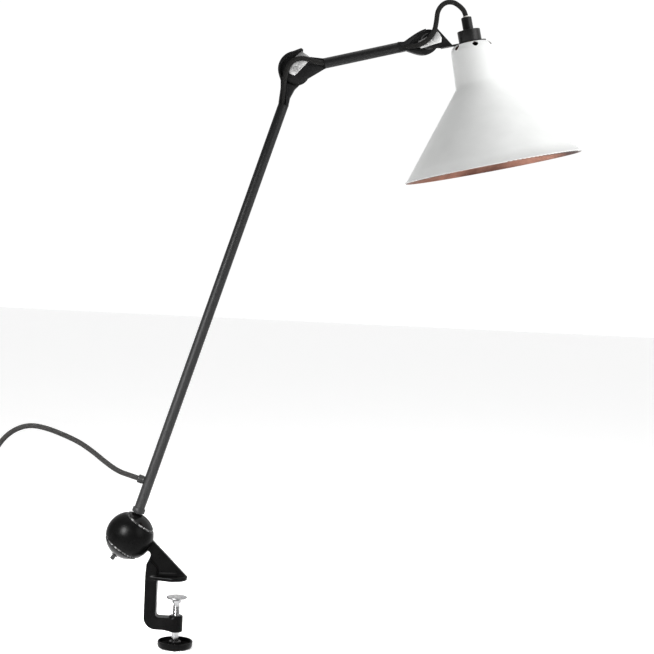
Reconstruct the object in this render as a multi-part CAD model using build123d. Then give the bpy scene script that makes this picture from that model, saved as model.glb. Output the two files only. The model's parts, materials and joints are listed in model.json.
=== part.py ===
from build123d import *
import math
import os

# Architect desk lamp with a bench clamp, a clamped ball joint, two tubular arms and a conical shade.
# Frame, in millimetres: origin at the centre of the upper jaw's underside, on the clamp screw's axis.
# +Z is up along the clamp's spine, +X points from the spine to the jaw's open end, and the arms lie
# in the plane Y = 0.

os.makedirs("parts", exist_ok=True)

# ---------------------------------------------------------------- driving dimensions
FIT = 0.05  # radial clearance of pins, screws and turning faces

# clamp
SPINE_LEFT = -43.6
SPINE_RIGHT = -27.1
CLAMP_HALF_WIDTH = 10.0
LOWER_JAW_TOP = -51.7
LOWER_JAW_BOTTOM = -68.7
BOSS_R = 9.5
BOSS_TOP = -49.2
BOSS_BOTTOM = -71.6
JAW_R = 18.5
JAW_TIP = 13.4
JAW_THICKNESS = 5.6
FIN_HALF_WIDTH = 4.2

# clamp screw
SCREW_R = 5.0
SPIGOT_R = 4.0
THREAD_TOP = -50.5
PAD_TOP = -23.6
PAD_R = 14.25
WHEEL_R = 24.0
WHEEL_TOP = -84.4
FLOOR = -94.0  # lowest face of the hand wheel

# ball joint
BALL = Vector(-67.5, 0, 57.5)
BALL_R = 32.5
BALL_AXIS_DEG = 55.0  # elevation of the axis that the ball turns about
COLLAR_LOW = -18.0
COLLAR_HIGH = 22.5
GROOVE = 2.3
CORE_R = 17.0
SLOT_HALF = 3.1
TONGUE_HALF = 3.0
TONGUE_WIDTH = 8.4
PIN_R = 3.0

# arms
LOWER_LENGTH = 669.0
LOWER_DEG = 72.85
UPPER_LENGTH = 181.5
UPPER_DEG = 14.7
TUBE_R = 7.0
TUBE_WALL = 1.2
LOWER_TUBE_START = 33.5
LOWER_TUBE_END = 619.0
UPPER_TUBE_START = 39.0
UPPER_TUBE_END = 140.0
GLAND_AT = 78.0

# stamped joint shells, in layers from the back to the front
SHEET = 1.6
BACK_Y = 3.0
RIM_Y = -6.6
BOLT_HEAD_R = 4.2
BOLT_R = 2.5
CABLE_R = 3.3

# shade and lampholder, in their own frame: origin at the centre of the shade's top, z along its axis
SHADE_TOP = Vector(361.4, 0, 742.8)
SHADE_TILT = 13.2
SHADE_HEIGHT = 169.0
RIM_R = 119.0
NECK_R = 28.0
NECK_BASE_R = 30.4
NECK_HEIGHT = 58.0
SHADE_WALL = 1.0
VENT_R = 3.9
VENT_RING_R = 26.3
VENTS = 6
VENT_FIRST_DEG = -84.0
CAP_R = 15.3
CAP_HEIGHT = 15.5
CAP_NECK_R = 7.0
CAP_NECK_HEIGHT = 17.5
STRIP = 1.6
BULB_R = 22.5

# mains lead
CORD_R = 3.5
COIL_R = 38.0
COIL_WIDTH = 21.0
COIL_HEIGHT = 14.0
COIL_X = -432.0
COIL_Y = 66.0
TIE = 1.0
SWITCH_LEFT = -442.0
SWITCH_RIGHT = -382.0
SWITCH_Y = -24.0
SWITCH_Z = FLOOR + 8.5
ROCKER_Z = FLOOR + 17.2
PLUG_X = COIL_X + 62.0
PLUG_Y = COIL_Y + COIL_R - 4.0
PLUG_Z = FLOOR + 6.8
PIN_SPACING = 18.6


# ---------------------------------------------------------------- helpers
def heading(degrees):
    """Unit vector in the plane Y = 0, measured up from +X."""
    angle = math.radians(degrees)
    return Vector(math.cos(angle), 0, math.sin(angle))


def rod(start, end, radius):
    """Round bar between two points."""
    reach = end - start
    place = Plane(origin=start, z_dir=reach)
    return place * Cylinder(radius, reach.length, align=(Align.CENTER, Align.CENTER, Align.MIN))


def pipe(start, end, radius, bore):
    """Round bar with a bore right through it."""
    reach = (end - start).normalized()
    return rod(start, end, radius) - rod(start - reach, end + reach, bore)


def slab(outline, y_near, y_far, at=Vector(0, 0, 0)):
    """Extrude a flat outline, drawn as (X, Z), from y_near to y_far."""
    place = Plane(origin=(at.X, y_near, at.Z), x_dir=(1, 0, 0), z_dir=(0, -1, 0))
    return extrude(place * outline, amount=-(y_far - y_near))


def polygon(*points):
    """Flat face with straight sides."""
    return make_face(Polyline(*points, close=True))


def rounded(outline, radius):
    """The outline with all its corners rounded."""
    return fillet(outline.vertices(), radius)


def hull(*circles):
    """Flat convex outline around circles given as (x, z, radius)."""
    edges = []
    for x, z, radius in circles:
        edges += (Pos(x, z) * Circle(radius)).edges()
    return make_hull(edges)


def save(node, *solids):
    """Write one node, a single solid or a group of separate ones."""
    shape = solids[0] if len(solids) == 1 else Compound(children=list(solids))
    export_step(shape, f"parts/{node}.step")


ELBOW = BALL + heading(LOWER_DEG) * LOWER_LENGTH
HEAD = ELBOW + heading(UPPER_DEG) * UPPER_LENGTH
BALL_AXIS = heading(BALL_AXIS_DEG)
BALL_FRAME = Plane(origin=BALL, x_dir=heading(BALL_AXIS_DEG - 90), z_dir=BALL_AXIS)
SHADE_FRAME = Plane(origin=SHADE_TOP, x_dir=heading(SHADE_TILT), z_dir=heading(SHADE_TILT + 90))


def on_lower(distance, side=0.0):
    """Point along the lower arm from the ball's centre, and to its left by side."""
    return BALL + heading(LOWER_DEG) * distance + heading(LOWER_DEG + 90) * side


def on_upper(distance, side=0.0):
    """Point along the upper arm from the elbow's pivot, and to its left by side."""
    return ELBOW + heading(UPPER_DEG) * distance + heading(UPPER_DEG + 90) * side


def along_y(centre, y_near, y_far, radius):
    """Round bar across the lamp, through a point of the plane Y = 0."""
    return rod(Vector(centre.X, y_near, centre.Z), Vector(centre.X, y_far, centre.Z), radius)


# ---------------------------------------------------------------- clamp
def zone(low, high, radius):
    """Slice of the ball between two planes across its axis."""
    slice_box = Pos(0, 0, (low + high) / 2) * Box(3 * radius, 3 * radius, high - low)
    return Sphere(radius) & slice_box


def clamp_frame():
    """C-shaped frame: spine, lower jaw and the root of the upper jaw, rounded along its edges."""
    outline = polygon(
        (SPINE_LEFT, LOWER_JAW_BOTTOM),
        (-17.0, LOWER_JAW_BOTTOM),
        (-6.0, BOSS_BOTTOM + 0.8),
        (0.0, BOSS_BOTTOM + 0.8),
        (0.0, LOWER_JAW_TOP),
        (SPINE_RIGHT, LOWER_JAW_TOP),
        (SPINE_RIGHT, JAW_THICKNESS - 0.6),
        (SPINE_RIGHT, 16.0),
        (-38.9, 28.4),
        (-42.5, 20.8),
        (SPINE_LEFT, 5.0),
    )
    corners = outline.vertices().group_by(Axis.Y)
    outer = corners[1].sort_by(Axis.X)[0]
    outline = fillet(outer, 17.0)
    inner = [
        v for v in outline.vertices() if abs(v.X - SPINE_RIGHT) < 0.01 and abs(v.Y - LOWER_JAW_TOP) < 0.01
    ]
    outline = fillet(inner, 4.0)
    frame = slab(outline, -CLAMP_HALF_WIDTH, CLAMP_HALF_WIDTH)
    sides = [e for e in frame.edges() if abs(abs(e.center().Y) - CLAMP_HALF_WIDTH) < 0.01]
    return fillet(sides, 2.0)


def jaw_plate():
    """Rounded upper jaw, its flat underside at Z = 0."""
    centre = JAW_TIP - JAW_R
    outline = make_hull(
        (Pos(centre, 0) * Circle(JAW_R)).edges()
        + (Pos((SPINE_LEFT + SPINE_RIGHT) / 2 + 1, 0) * Rectangle(10, 2 * CLAMP_HALF_WIDTH)).edges()
    )
    plate = extrude(outline, amount=JAW_THICKNESS)
    return fillet(plate.edges().group_by(Axis.Z)[-1], 2.2)


def clamp_body():
    """Cast clamp with the collar that holds the ball."""
    fin = polygon(
        (-50.0, 42.0),
        (-46.0, 60.0),
        (-36.5, 53.2),
        (9.3, 8.0),
        (10.8, 6.4),
        (8.2, 4.0),
        (-40.0, 4.0),
        (-42.5, 20.8),
        (-38.9, 28.4),
        (-37.6, 32.5),
        (-38.6, 36.0),
        (-43.2, 39.5),
    )
    collar = BALL_FRAME * zone(COLLAR_LOW, COLLAR_HIGH, BALL_R)
    boss = Pos(0, 0, BOSS_BOTTOM) * Cylinder(
        BOSS_R, BOSS_TOP - BOSS_BOTTOM, align=(Align.CENTER, Align.CENTER, Align.MIN)
    )
    boss = fillet(boss.edges().group_by(Axis.Z)[-1], 1.2)
    body = clamp_frame() + jaw_plate() + slab(fin, -FIN_HALF_WIDTH, FIN_HALF_WIDTH) + collar + boss
    screw_hole = rod(Vector(0, 0, BOSS_BOTTOM - 5), Vector(0, 0, BOSS_TOP + 5), SCREW_R + FIT)
    bore = rod(BALL - BALL_AXIS * 40, BALL + BALL_AXIS * 40, CORE_R + FIT)
    flare = BALL_FRAME * Pos(0, 0, 19.3) * Cone(CORE_R + FIT, 19.5, 6.5)
    room_low = BALL_FRAME * zone(-BALL_R - 1, COLLAR_LOW, BALL_R + 1)
    room_high = BALL_FRAME * zone(COLLAR_HIGH, BALL_R + 1, BALL_R + 1)
    body = body - screw_hole - bore - flare - room_low - room_high
    return body


# ---------------------------------------------------------------- clamp screw
def clamp_screw():
    """Spindle: threaded below, with a plain spigot that turns in the pad."""
    thread = rod(Vector(0, 0, FLOOR + 2.6), Vector(0, 0, THREAD_TOP), SCREW_R)
    spigot = rod(Vector(0, 0, THREAD_TOP), Vector(0, 0, -27.2), SPIGOT_R)
    cross_hole = along_y(Vector(0, 0, FLOOR + 6.5), -12, 12, 1.5)
    return chamfer(thread.edges().group_by(Axis.Z)[-1], 0.6) + spigot - cross_hole


def screw_pad():
    """Thin round pressure pad on a conical hub."""
    half = [
        (SPIGOT_R + FIT, PAD_TOP - 8.6),
        (6.0, PAD_TOP - 8.6),
        (7.0, PAD_TOP - 4.4),
        (PAD_R - 0.6, PAD_TOP - 1.9),
        (PAD_R, PAD_TOP - 1.2),
        (PAD_R, PAD_TOP - 0.4),
        (PAD_R - 0.6, PAD_TOP),
        (0, PAD_TOP),
        (0, PAD_TOP - 3.4),
        (SPIGOT_R + FIT, PAD_TOP - 3.4),
    ]
    return revolve(Plane.XZ * polygon(*half), Axis.Z)


def hand_wheel():
    """Shallow cup, open above, with a hub for the spindle."""
    half = [
        (SCREW_R, FLOOR),
        (WHEEL_R - 4.0, FLOOR),
        (WHEEL_R - 1.2, FLOOR + 1.4),
        (WHEEL_R, FLOOR + 4.2),
        (WHEEL_R, WHEEL_TOP - 0.6),
        (WHEEL_R - 0.6, WHEEL_TOP),
        (WHEEL_R - 1.4, WHEEL_TOP),
        (WHEEL_R - 2.0, WHEEL_TOP - 0.6),
        (WHEEL_R - 2.4, FLOOR + 4.4),
        (WHEEL_R - 4.6, FLOOR + 2.6),
        (9.5, FLOOR + 2.6),
        (8.6, FLOOR + 3.6),
        (8.0, FLOOR + 9.0),
        (SCREW_R, FLOOR + 9.0),
    ]
    wheel = revolve(Plane.XZ * polygon(*half), Axis.Z)
    floor_plug = rod(Vector(0, 0, FLOOR), Vector(0, 0, FLOOR + 2.5), SCREW_R)
    return wheel + floor_plug - along_y(Vector(0, 0, FLOOR + 6.5), -12, 12, 1.5)


def wheel_pin():
    """Cross pin that locks the wheel to the spindle."""
    return along_y(Vector(0, 0, FLOOR + 6.5), -7.9, 7.9, 1.5)


# ---------------------------------------------------------------- ball joint
def in_ball(low, high, radius):
    """Disc across the ball's axis."""
    return rod(BALL + BALL_AXIS * low, BALL + BALL_AXIS * high, radius)


def arm_slot():
    """Space that the arm's tongue swings in."""
    return BALL_FRAME * Pos(0, 0, 14.5) * Box(80, 2 * SLOT_HALF, 51)


def ball_core():
    """Forked core that turns in the collar, in one piece with the ball's upper cap."""
    cap = BALL_FRAME * zone(COLLAR_HIGH + GROOVE, BALL_R, BALL_R)
    core = in_ball(COLLAR_LOW - GROOVE, COLLAR_HIGH + GROOVE, CORE_R) + cap
    core = core - arm_slot() - along_y(BALL, -30, 30, PIN_R)
    return core - in_ball(-30, -11, PIN_R)


def ball_lower_cap():
    """Ball's lower cap, drawn against the core by the tie screw."""
    cap = BALL_FRAME * zone(-BALL_R, COLLAR_LOW - GROOVE, BALL_R)
    return cap - in_ball(-40, -10, PIN_R)


def lower_friction_ring():
    """Steel ring between the collar and the lower cap."""
    low = COLLAR_LOW - GROOVE
    return in_ball(low, COLLAR_LOW - FIT, 23.6) - in_ball(low - 1, COLLAR_LOW + 1, CORE_R + 0.02)


def upper_friction_shoes():
    """Two steel half rings between the collar and the upper cap, parted by the arm's slot."""
    high = COLLAR_HIGH + GROOVE
    ring = in_ball(COLLAR_HIGH + FIT, high, 20.6) - in_ball(COLLAR_HIGH - 1, high + 1, CORE_R + 0.02)
    return (ring - arm_slot()).solids()


def tie_screw():
    """Screw along the ball's axis, its slotted head standing out of the lower cap."""
    shank = in_ball(-31.5, -11.5, PIN_R)
    head = in_ball(-40.5, -31.5, 2.9)
    collar = in_ball(-34.0, -BALL_R, 4.4)
    slot = BALL_FRAME * Pos(0, 0, -40.5) * Box(12, 1.0, 2.4)
    return shank + head + collar - slot


def arm_pin():
    """Pin that the lower arm tilts on."""
    return along_y(BALL, -16.5, 16.5, PIN_R)


# ---------------------------------------------------------------- lower arm
def lower_tongue():
    """Flat tongue with an eye for the arm pin, and a round plug inside the tube."""
    eye = along_y(BALL, -TONGUE_HALF, TONGUE_HALF, 8.8)
    blade_middle = on_lower(LOWER_TUBE_START / 2)
    blade_frame = Plane(origin=blade_middle, x_dir=heading(LOWER_DEG - 90), z_dir=heading(LOWER_DEG))
    blade = blade_frame * Box(TONGUE_WIDTH, 2 * TONGUE_HALF, LOWER_TUBE_START)
    plug = rod(on_lower(LOWER_TUBE_START - 0.8), on_lower(LOWER_TUBE_START + 18), TUBE_R - TUBE_WALL)
    return eye + blade + plug - along_y(BALL, -10, 10, PIN_R + FIT)


def lower_tube():
    """Long steel tube with the hole that the mains lead enters by."""
    tube = pipe(on_lower(LOWER_TUBE_START), on_lower(LOWER_TUBE_END), TUBE_R, TUBE_R - TUBE_WALL)
    return tube - rod(on_lower(GLAND_AT, 0), on_lower(GLAND_AT, 12), 4.6)


def lower_ferrule():
    """Collar round the tube's lower end."""
    ring = pipe(on_lower(LOWER_TUBE_START + 0.5), on_lower(LOWER_TUBE_START + 6.5), 8.6, TUBE_R)
    return ring


def gland_body():
    """Threaded bush in the tube's side."""
    neck = rod(on_lower(GLAND_AT, 5.0), on_lower(GLAND_AT, 14.0), 4.6)
    flange = rod(on_lower(GLAND_AT, 6.2), on_lower(GLAND_AT, 9.0), 5.4)
    flange = flange - rod(on_lower(GLAND_AT - 20), on_lower(GLAND_AT + 20), TUBE_R)
    return neck + flange - rod(on_lower(GLAND_AT, 3), on_lower(GLAND_AT, 20), CORD_R + 0.1)


def gland_nut():
    """Round cap of the gland."""
    nut = rod(on_lower(GLAND_AT, 9.0), on_lower(GLAND_AT, 15.4), 5.8)
    nut = fillet(nut.edges().filter_by(GeomType.CIRCLE).sort_by(Axis.X)[0], 1.0)
    bush = rod(on_lower(GLAND_AT, 8.0), on_lower(GLAND_AT, 14.0), 4.6)
    return nut - bush - rod(on_lower(GLAND_AT, 3), on_lower(GLAND_AT, 20), CORD_R + 0.1)


def lower_lead():
    """Lead inside the lower tube."""
    return rod(on_lower(GLAND_AT + 12), on_lower(LOWER_TUBE_END - 16), CABLE_R)


# ---------------------------------------------------------------- elbow
HOOD_R = 24.0


def hood_outline():
    """Side view of the lower arm's stamped hood, about the elbow's pivot."""
    body = hull((0, 0, 19.5), (0.5, -3, 18.0))
    dome = Circle(HOOD_R) & Pos(-30, 4) * Rectangle(60, 44)
    tip = polygon((-13.6, 19.8), (5.6, 28.0), (8.4, 26.6), (7.8, 22.0), (4.0, 17.0), (-10, 10))
    neck = polygon(
        (-22.6, -8.0),
        (-19.8, -16.0),
        (-19.4, -26.0),
        (-21.3, -45.8),
        (-8.1, -49.8),
        (-6.5, -38.8),
        (-0.6, -27.0),
        (7.0, -18.5),
        (0, 0),
    )
    return body + dome + tip + neck


def hood_cavity():
    """Room inside the hood for the other arm's end and the cable."""
    dome = hull((0, 0, HOOD_R - 2.2), (60, 20, HOOD_R), (60, -20, HOOD_R))
    tip = polygon((-14.4, 16.2), (7.5, 25.9), (9.0, 27.0), (40, 30), (40, 0), (0, 0))
    channel = polygon(
        (-18.2, 4),
        (-17.8, -17.0),
        (-17.6, -27.0),
        (-19.4, -46.5),
        (-11.6, -49.0),
        (-11.6, -20),
        (0, -21.8),
        (30, -21.8),
        (30, 4),
    )
    return dome + tip + channel


def elbow_hood():
    """Stamped end of the lower arm: a back plate with a rim turned forward round the cable."""
    outline = hood_outline()
    back = slab(outline, BACK_Y, BACK_Y + SHEET, ELBOW)
    rim = slab(outline - hood_cavity(), RIM_Y, BACK_Y + 0.4, ELBOW)
    neck_block = polygon((-20.9, -37.0), (-21.3, -45.8), (-8.1, -49.8), (-6.5, -38.8), (-6.2, -37.0))
    root = slab(neck_block, 0.2, 6.6, ELBOW)
    hood = back + rim + root
    hood = hood - along_y(ELBOW, -20, 20, BOLT_R)
    end_cut = rod(on_lower(LOWER_TUBE_END), on_lower(LOWER_TUBE_END - 30), 30)
    cheek_outline = polygon((-11.0, -44.0), (-11.0, -10.0), (30.0, -10.0), (30.0, -44.0))
    cheek_room = slab(cheek_outline, -0.7, 1.8, ELBOW)
    return hood - end_cut - cheek_room - sweep_cable(ELBOW_ROUTE, CABLE_R + 0.5)


def upper_elbow_plate():
    """Stamped end of the upper arm: a round cheek tapering into the tube."""
    near = on_upper(UPPER_TUBE_START) - ELBOW
    outline = hull((0, 0, 18.8), (near.X, near.Z, 6.4))
    cheek = slab(outline, -0.35, BACK_Y - 1.55, ELBOW)
    saddle_outline = polygon(
        (29.6, 1.0), (31.6, 14.2), (near.X - 1.8, near.Z + 6.8), (near.X + 1.6, near.Z - 6.6)
    )
    saddle = slab(saddle_outline, -0.35, 6.0, ELBOW)
    plate = cheek + saddle - along_y(ELBOW, -20, 20, BOLT_R + FIT)
    end_cut = rod(on_upper(UPPER_TUBE_START), on_upper(UPPER_TUBE_START + 30), 20)
    return plate - end_cut - sweep_cable(ELBOW_ROUTE, CABLE_R + 0.5)


def elbow_friction_disc():
    """Steel disc between the two stamped ends."""
    disc = along_y(ELBOW, BACK_Y - 1.5, BACK_Y - FIT, 15.0)
    return disc - along_y(ELBOW, -20, 20, BOLT_R + FIT)


def elbow_steel_plate():
    """Bright pressure plate under the bolt's head, in front of the upper arm's cheek."""
    outline = polygon(
        (6.6, 24.4), (18.4, 17.4), (14.2, 9.2), (-1.4, -8.2), (-9.4, -5.4), (-9.6, 3.2), (-5.0, 14.0)
    )
    plate = slab(outline, -1.5, -0.4, ELBOW)
    return plate - along_y(ELBOW, -20, 20, BOLT_R + FIT)


def joint_bolt(pivot, front, back):
    """Cheese-headed bolt across a joint."""
    head = along_y(pivot, front - 1.5, front, BOLT_HEAD_R)
    head = fillet(head.edges().group_by(Axis.Y)[0], 0.5)
    shank = along_y(pivot, front, back + 3.4, BOLT_R)
    slot = Pos(pivot.X, front - 1.5, pivot.Z) * Rot(0, 40, 0) * Box(9, 1.2, 1.0)
    return head + shank - slot


def hexagon_nut(pivot, back):
    """Nut behind a joint."""
    outline = RegularPolygon(4.6, 6)
    return slab(outline, back, back + 3.0, pivot) - along_y(pivot, -20, 20, BOLT_R)


# ---------------------------------------------------------------- upper arm
def upper_tube():
    """Short steel tube between the elbow and the head joint."""
    return pipe(on_upper(UPPER_TUBE_START), on_upper(UPPER_TUBE_END), TUBE_R, TUBE_R - TUBE_WALL)


def upper_lead():
    """Lead inside the upper tube."""
    return rod(on_upper(UPPER_TUBE_START + 16), on_upper(UPPER_TUBE_END - 14), CABLE_R)


LEAF_EDGE = (
    (-33.6, -3.2),
    (-11.8, 12.4),
    (4.0, 15.6),
    (11.4, 11.0),
    (13.6, 1.5),
    (11.6, -7.4),
    (1.6, -16.6),
    (-6.0, -19.0),
    (-20.0, -17.4),
    (-29.5, -14.6),
)


def head_leaf():
    """Leaf-shaped stamped end of the upper arm, its rims turned forward."""
    end = on_upper(UPPER_TUBE_END) - HEAD
    top = end + heading(UPPER_DEG + 90) * (TUBE_R - 0.2)
    bottom = end - heading(UPPER_DEG + 90) * (TUBE_R - 0.2)
    outline = make_face(
        Polyline((bottom.X, bottom.Z), (top.X, top.Z), LEAF_EDGE[0])
        + Spline(*LEAF_EDGE)
        + Line(LEAF_EDGE[-1], (bottom.X, bottom.Z))
    )
    inner = hull((-24.0, -9.0, 4.6), (-7.0, -2.0, 12.4), (0, 0, 13.5)) + Pos(12, 0) * Rectangle(34, 60)
    back = slab(outline, BACK_Y, BACK_Y + SHEET, HEAD)
    rim = slab(outline - inner, RIM_Y, BACK_Y + 0.4, HEAD)
    leaf = back + rim - along_y(HEAD, -20, 20, BOLT_R)
    end_cut = rod(on_upper(UPPER_TUBE_END), on_upper(UPPER_TUBE_END - 30), 20)
    return leaf - end_cut - sweep_cable(HEAD_ROUTE, CABLE_R + 0.5)


# ---------------------------------------------------------------- head
def head_bracket():
    """Triangular web on the head joint, with the strip that carries the lampholder and the shade."""
    pivot = SHADE_FRAME.to_local_coords(HEAD)
    web = hull((pivot.X, pivot.Z, 9.0), (-42.0, 26.4, 1.8), (-26.4, 1.9, 1.6), (-39.6, 2.0, 1.6))
    web = slab(web, -0.35, BACK_Y - 1.55)
    strip = Pos(-13.0, 0, STRIP / 2) * Box(54.0, 13.0, STRIP)
    end = Pos(9.0, 0, STRIP / 2) * Cylinder(12.0, STRIP)
    foot = Pos(-33.0, 0.4, 1.6) * Box(14.0, 7.0, 1.8)
    hole = Cylinder(5.2, 10)
    bracket = SHADE_FRAME * (web + strip + end + foot - hole)
    return bracket - along_y(HEAD, -20, 20, BOLT_R + FIT)


def head_friction_disc():
    """Steel disc between the leaf and the web."""
    disc = along_y(HEAD, BACK_Y - 1.5, BACK_Y - FIT, 11.0)
    return disc - along_y(HEAD, -20, 20, BOLT_R + FIT)


def head_steel_plate():
    """Bright pressure plate in front of the web."""
    outline = polygon(
        (-14.5, -1.5),
        (0.6, 7.4),
        (10.6, 13.0),
        (13.4, 11.0),
        (16.8, 4.6),
        (16.8, -0.8),
        (4.2, -5.2),
        (-9.4, -10.4),
        (-12.4, -8.6),
    )
    return slab(outline, -1.5, -0.4, HEAD) - along_y(HEAD, -20, 20, BOLT_R + FIT)


def ring(radius, bore, low, high):
    """Ring about the shade's axis, in the shade's frame."""
    height = high - low
    at = Pos(0, 0, (low + high) / 2)
    return at * (Cylinder(radius, height) - Cylinder(bore, height + 2))


def lampholder_cap():
    """Moulded cap on the strip, with a narrow neck for the lead."""
    base = Pos(0, 0, STRIP + CAP_HEIGHT / 2) * Cylinder(CAP_R, CAP_HEIGHT)
    base = fillet(base.edges().group_by(Axis.Z)[-1], 0.8)
    neck_low = STRIP + CAP_HEIGHT
    neck = Pos(0, 0, neck_low + CAP_NECK_HEIGHT / 2) * Cylinder(CAP_NECK_R, CAP_NECK_HEIGHT)
    neck = chamfer(neck.edges().group_by(Axis.Z)[-1], 0.7)
    hollow = Pos(0, 0, STRIP + 6.0) * Cylinder(12.6, 12.0)
    bore = Pos(0, 0, neck_low + 10) * Cylinder(4.4, 40)
    return SHADE_FRAME * (base + neck - hollow - bore)


CORD_GRIP_TOP = STRIP + CAP_HEIGHT + CAP_NECK_HEIGHT + 1.6


def cord_grip():
    """Pale bush that holds the lead in the cap's neck."""
    low = STRIP + CAP_HEIGHT + 4
    return SHADE_FRAME * ring(4.3, CABLE_R + 0.3, low, CORD_GRIP_TOP)


def hollow_nipple():
    """Threaded tube that ties the cap, the strip, the shade and the lampholder together."""
    return SHADE_FRAME * ring(5.0, 3.8, -9.0, STRIP + 6.0)


def nipple_nut():
    """Nut on the nipple, inside the cap."""
    nut = extrude(RegularPolygon(8.6, 6), amount=3.0) - Pos(0, 0, 1.5) * Cylinder(5.0, 8)
    return SHADE_FRAME * Pos(0, 0, STRIP) * nut


def shade_profile(offset):
    """Outer line of the shade moved inward by offset: (radius, height) from the top's edge to the rim."""
    slope = (RIM_R - NECK_BASE_R) / (SHADE_HEIGHT - NECK_HEIGHT)
    along = offset * math.sqrt(1 + slope * slope)
    return [
        (NECK_R - offset, -10.0),
        (NECK_BASE_R - offset, -NECK_HEIGHT + (along - offset) / slope),
        (RIM_R - along, -SHADE_HEIGHT),
    ]


def shade():
    """Spun conical shade with vents round its shoulder and a beaded rim."""
    outer = shade_profile(0)
    inner = shade_profile(SHADE_WALL)
    shoulder = 10.0
    face = make_face(
        Line((5.2, 0), (NECK_R - shoulder, 0))
        + TangentArc((NECK_R - shoulder, 0), (NECK_R, -shoulder), tangent=(1, 0))
        + Polyline((NECK_R, -shoulder), outer[1], outer[2], inner[2], inner[1], inner[0])
        + TangentArc(
            (NECK_R - SHADE_WALL, -shoulder), (NECK_R - shoulder, -SHADE_WALL), tangent=(0, 1)
        )
        + Polyline((NECK_R - shoulder, -SHADE_WALL), (5.2, -SHADE_WALL), (5.2, 0))
    )
    skin = revolve(Plane.XZ * face, Axis.Z)
    bead = Pos(0, 0, -SHADE_HEIGHT + 0.8) * Torus(RIM_R - 0.9, 1.3)
    skin = skin + bead
    for i in range(VENTS):
        turn = Rot(0, 0, VENT_FIRST_DEG + 360 / VENTS * i)
        drill = turn * Pos(VENT_RING_R, 0, -3.4) * Rot(0, 40, 0) * Cylinder(VENT_R, 12)
        skin = skin - drill
    return SHADE_FRAME * skin


def lampholder_body():
    """Lampholder inside the shade's neck, with a threaded seat for the bulb."""
    shell = Pos(0, 0, -21.0) * Cylinder(13.6, 38.0)
    seat = Pos(0, 0, -28.0) * Cylinder(7.4, 26.0)
    return SHADE_FRAME * (shell - seat - Pos(0, 0, -4.0) * Cylinder(5.0, 12))


def shade_ring():
    """Ring that clamps the shade against the strip."""
    return SHADE_FRAME * ring(16.5, 5.0, -2.0, -1.0)


def centre_contact():
    """Brass tongue that feeds the bulb's tip."""
    return SHADE_FRAME * Pos(0, 0, -15.6) * Cylinder(3.0, 1.0)


def bulb_base():
    """Screw base of the bulb."""
    return SHADE_FRAME * Pos(0, 0, -28.7) * Cylinder(7.0, 24.6)


def bulb_glass():
    """Golf-ball bulb."""
    ball = Pos(0, 0, -71.0) * Sphere(BULB_R)
    stem = Pos(0, 0, -49.5) * Cone(14.5, 8.6, 17.0)
    return SHADE_FRAME * (ball + stem)


# ---------------------------------------------------------------- cables
def bend_radii(points):
    """Largest tangent arc that fits at each corner of a route."""
    radii = []
    for before, corner, after in zip(points, points[1:], points[2:]):
        run_in = corner - before
        run_out = after - corner
        half_turn = math.radians(run_in.get_angle(run_out)) / 2
        radii.append(0.45 * min(run_in.length, run_out.length) / math.tan(half_turn))
    return radii


def cable_line(points):
    """Centre line of straight runs and tangent arcs."""
    route = [Vector(*p) for p in points]
    return FilletPolyline(*route, radius=bend_radii(route))


def sweep_cable(points, radius):
    """Round bar along a route."""
    start = Plane(origin=Vector(*points[0]), z_dir=Vector(*points[1]) - Vector(*points[0]))
    return sweep(start * Circle(radius), path=cable_line(points))


def cable(node, points, radius):
    """Cable along a route, with its length, volume and radii printed."""
    path = cable_line(points)
    radii = bend_radii([Vector(*p) for p in points])
    solid = sweep_cable(points, radius)
    expected = math.pi * radius * radius * path.length
    print(f"{node}: length {path.length:.1f}, volume {solid.volume / expected:.4f} of expected, radii",
          " ".join(f"{r:.0f}" for r in radii))
    return solid


def about(pivot, points):
    """Route points given from a joint's pivot."""
    return [(pivot.X + x, y, pivot.Z + z) for x, y, z in points]


ELBOW_ROUTE = about(ELBOW, [
    (-18.4, -0.6, -59.6),
    (-15.2, -2.0, -46.0),
    (-15.4, -5.6, -29.0),
    (-14.6, -6.6, -12.0),
    (-11.6, -6.6, 3.0),
    (-1.5, -6.6, 13.6),
    (12.5, -6.4, 14.8),
    (25.5, -4.4, 10.8),
    (38.0, -1.6, 9.6),
    (51.0, -0.4, 13.2),
])

HEAD_ROUTE = about(HEAD, [
    (-51.6, -0.4, -13.4),
    (-40.0, -1.6, -10.2),
    (-27.0, -5.0, -9.8),
    (-14.0, -7.0, -7.6),
    (-1.5, -7.2, 0.2),
    (6.6, -7.0, 12.0),
    (8.6, -5.0, 26.0),
    (9.6, -3.0, 41.0),
    (18.0, -1.4, 51.6),
    (29.5, -0.4, 53.4),
    (39.0, 0.0, 48.2),
    (46.7, 0.0, 40.5),
    (49.3, 0.0, 29.4),
])

CORD_START = on_lower(GLAND_AT, 9.0)
UPPER_CORD_ROUTE = [
    (CORD_START.X, 0.0, CORD_START.Z),
    (-68.0, 0.0, 139.3),
    (-86.0, -1.0, 144.5),
    (-104.0, -2.0, 156.5),
    (-123.0, -3.0, 171.5),
    (-146.0, -4.0, 186.0),
    (-171.0, -5.0, 195.0),
]
LOWER_CORD_ROUTE = [
    (-171.0, -5.0, 195.0),
    (-196.0, -6.0, 204.0),
    (-225.0, -4.0, 199.0),
    (-250.0, 0.0, 177.0),
    (-266.0, 5.0, 138.0),
    (-277.0, 10.0, 90.0),
    (-288.0, 14.0, 38.0),
    (-297.0, 16.0, -14.0),
    (-306.0, 14.0, -54.0),
    (-321.0, 6.0, -80.0),
    (-344.0, -13.0, -89.5),
    (SWITCH_RIGHT + 14.0, SWITCH_Y, SWITCH_Z),
    (SWITCH_RIGHT - 4.0, SWITCH_Y, SWITCH_Z),
]
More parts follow.
